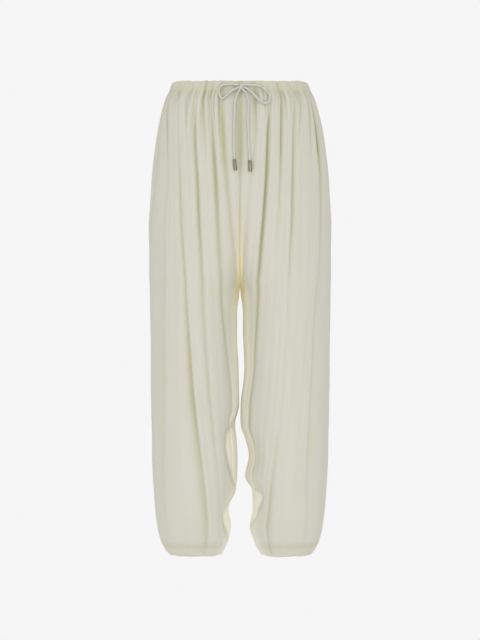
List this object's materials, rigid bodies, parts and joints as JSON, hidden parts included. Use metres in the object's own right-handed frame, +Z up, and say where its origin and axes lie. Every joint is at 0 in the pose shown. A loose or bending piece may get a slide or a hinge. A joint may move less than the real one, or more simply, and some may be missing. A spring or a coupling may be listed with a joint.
{
  "type": "drawstring trousers",
  "caption": "Trousers with a gathered drawstring waist, a low crotch and full balloon legs gathered into hem bands, filled out and hollow.",
  "frame": {"origin": "middle of the waist opening, at the height of the drawstring", "axes": "+Z up towards the wearer's chest, -Y the way the wearer faces, +X the wearer's left"},
  "size_m": [0.4022, 0.2857, 1.0574],
  "materials": {
    "cloth": "soft ivory cloth, thin enough to let light through, with a faint sheen",
    "drawstring": "ivory cord with a soft sheen",
    "tips": "dull brushed metal"
  },
  "bodies": {
    "root": {"left_front": "cloth", "right_front": "cloth", "left_back": "cloth", "right_back": "cloth", "waist_casing": "cloth", "left_hem_band": "cloth", "right_hem_band": "cloth", "drawstring_knot": "drawstring", "left_bow_loop": "drawstring", "right_bow_loop": "drawstring", "left_tail": "drawstring", "right_tail": "drawstring", "left_tip": "tips", "right_tip": "tips"}
  },
  "joints": []
}
